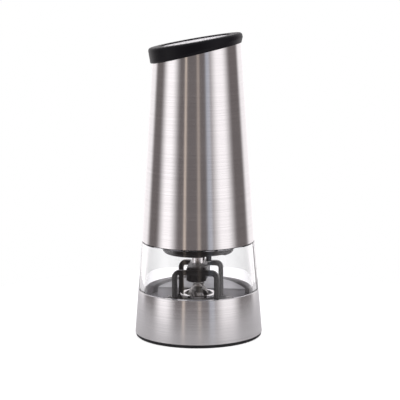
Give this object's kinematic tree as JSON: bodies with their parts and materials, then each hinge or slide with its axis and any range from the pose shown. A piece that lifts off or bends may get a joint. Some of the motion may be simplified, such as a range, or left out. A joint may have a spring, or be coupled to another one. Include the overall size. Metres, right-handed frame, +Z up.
{
  "type": "pepper mill",
  "caption": "Tall tapered battery pepper mill with a slanted push top, brushed steel sleeve, clear hopper window and burr grinder in a steel base ring.",
  "frame": {"origin": "centre of the base, on the surface the mill stands on", "axes": "+Z up along the mill's axis, +X towards the high side of the slanted top"},
  "size_m": [0.082, 0.082, 0.195],
  "materials": {
    "brushed_steel": "circumferential brushing",
    "clear_plastic": "clear, polished",
    "black_plastic": "fine satin",
    "bracket_plastic": "moulded, semi-gloss",
    "floor_plastic": "satin light grey",
    "push_silver": "spun face with shallow rings",
    "foot_rubber": "matt",
    "bright_steel": "bright plated",
    "burr_steel": "machined, hardened",
    "collar_steel": "turned",
    "spring_steel": "drawn wire",
    "gear_nylon": "moulded nylon",
    "case_plastic": "moulded",
    "brass": "turned",
    "zinc": "zinc plated",
    "cell_wrap": "plain printed wrap",
    "seal_rubber": "soft",
    "lens": "diffusing",
    "switch_plastic": "moulded",
    "plunger_red": "moulded",
    "motor_core": "laminated core"
  },
  "bodies": {
    "base": {"foot_ring": "foot_rubber", "base_ring": "brushed_steel", "base_frame": "floor_plastic", "bottom_cover": "black_plastic", "cover_screws": "bright_steel", "hopper": "clear_plastic", "hopper_floor": "floor_plastic", "grinder_bracket": "bracket_plastic", "bracket_screws": "bright_steel", "outer_burr": "burr_steel", "burr_collar": "collar_steel"},
    "adjuster": {"thrust_pin": "bright_steel"},
    "knob": {"coarseness_knob": "black_plastic"},
    "drive": {"drive_shaft": "bright_steel", "inner_burr": "burr_steel", "burr_spring": "spring_steel"},
    "power_unit": {"chassis": "bracket_plastic", "seal_ring": "seal_rubber", "light_stalk": "bracket_plastic", "light_lens": "lens", "gearbox_case": "case_plastic", "ring_gear": "gear_nylon", "output_bush": "brass", "gearbox_lid": "case_plastic", "lid_screws": "bright_steel", "motor_can": "zinc", "motor_end_cap": "gear_nylon", "motor_terminals": "brass", "battery_base": "black_plastic", "battery_base_screws": "bright_steel", "battery_holder": "black_plastic", "battery_cells": "cell_wrap", "contact_springs": "spring_steel", "contact_strips": "zinc", "battery_cap": "black_plastic", "switch_body": "switch_plastic"},
    "plunger": {"switch_plunger": "plunger_red"},
    "output": {"output_carrier": "case_plastic", "drive_socket": "collar_steel"},
    "output_planet_1": {"output_planet_1": "gear_nylon"},
    "output_planet_2": {"output_planet_2": "gear_nylon"},
    "output_planet_3": {"output_planet_3": "gear_nylon"},
    "first_stage": {"first_carrier": "case_plastic"},
    "first_planet_1": {"first_planet_1": "gear_nylon"},
    "first_planet_2": {"first_planet_2": "gear_nylon"},
    "first_planet_3": {"first_planet_3": "gear_nylon"},
    "motor_rotor": {"motor_shaft": "bright_steel", "armature": "motor_core", "sun_gear": "brass"},
    "sleeve": {"steel_sleeve": "brushed_steel", "sleeve_liner": "black_plastic", "cap_ring": "black_plastic", "cap_floor": "black_plastic", "push_springs": "spring_steel"},
    "push": {"push_plate": "push_silver", "push_carrier": "black_plastic"}
  },
  "joints": [
    {"name": "unit_lift", "type": "slide", "parent": "base", "child": "power_unit", "axis": [0, 0, 1], "range_m": [0, 0.09]},
    {"name": "sleeve_lift", "type": "slide", "parent": "power_unit", "child": "sleeve", "axis": [0, 0, 1], "range_m": [0, 0.13]},
    {"name": "push_slide", "type": "slide", "parent": "sleeve", "child": "push", "axis": [0.1693, 0, -0.9856], "range_m": [0, 0.0015], "stiffness_N_per_m": 800, "springref_m": -0.0005, "deforming": ["push_springs"]},
    {"name": "plunger_slide", "type": "slide", "parent": "power_unit", "child": "plunger", "axis": [0, 0, -1], "range_m": [0, 0.0015]},
    {"name": "burr_lift", "type": "slide", "parent": "base", "child": "adjuster", "axis": [0, 0, -1], "range_m": [0, 0.0008]},
    {"name": "knob_turn", "type": "hinge", "parent": "adjuster", "child": "knob", "pos_m": [0, 0, 0.003], "axis": [0, 0, 1], "range_deg": [0, 360]},
    {"name": "burr_spin", "type": "hinge", "parent": "adjuster", "child": "drive", "pos_m": [0, 0, 0.03], "axis": [0, 0, 1], "continuous": true},
    {"name": "output_spin", "type": "hinge", "parent": "power_unit", "child": "output", "pos_m": [0, 0, 0.06], "axis": [0, 0, 1], "continuous": true},
    {"name": "first_stage_spin", "type": "hinge", "parent": "power_unit", "child": "first_stage", "pos_m": [0, 0, 0.075], "axis": [0, 0, 1], "continuous": true},
    {"name": "motor_spin", "type": "hinge", "parent": "power_unit", "child": "motor_rotor", "pos_m": [0, 0, 0.09], "axis": [0, 0, 1], "continuous": true},
    {"name": "output_planet_1_spin", "type": "hinge", "parent": "output", "child": "output_planet_1", "pos_m": [0.0105, 0, 0.0735], "axis": [0, 0, 1], "continuous": true},
    {"name": "output_planet_2_spin", "type": "hinge", "parent": "output", "child": "output_planet_2", "pos_m": [-0.00525, 0.00909, 0.0735], "axis": [0, 0, 1], "continuous": true},
    {"name": "output_planet_3_spin", "type": "hinge", "parent": "output", "child": "output_planet_3", "pos_m": [-0.00525, -0.00909, 0.0735], "axis": [0, 0, 1], "continuous": true},
    {"name": "first_planet_1_spin", "type": "hinge", "parent": "first_stage", "child": "first_planet_1", "pos_m": [0.0105, 0, 0.0806], "axis": [0, 0, 1], "continuous": true},
    {"name": "first_planet_2_spin", "type": "hinge", "parent": "first_stage", "child": "first_planet_2", "pos_m": [-0.00525, 0.00909, 0.0806], "axis": [0, 0, 1], "continuous": true},
    {"name": "first_planet_3_spin", "type": "hinge", "parent": "first_stage", "child": "first_planet_3", "pos_m": [-0.00525, -0.00909, 0.0806], "axis": [0, 0, 1], "continuous": true}
  ],
  "couplings": [
    {"joint": "plunger_slide", "follows": "push_slide", "ratio": 1},
    {"joint": "knob_turn", "follows": "burr_lift", "rad_per_m": 7853},
    {"joint": "first_stage_spin", "follows": "motor_spin", "ratio": 0.2},
    {"joint": "output_spin", "follows": "motor_spin", "ratio": 0.04},
    {"joint": "burr_spin", "follows": "motor_spin", "ratio": 0.04},
    {"joint": "output_planet_1_spin", "follows": "motor_spin", "ratio": -0.10667},
    {"joint": "output_planet_2_spin", "follows": "motor_spin", "ratio": -0.10667},
    {"joint": "output_planet_3_spin", "follows": "motor_spin", "ratio": -0.10667},
    {"joint": "first_planet_1_spin", "follows": "motor_spin", "ratio": -0.53333},
    {"joint": "first_planet_2_spin", "follows": "motor_spin", "ratio": -0.53333},
    {"joint": "first_planet_3_spin", "follows": "motor_spin", "ratio": -0.53333}
  ]
}
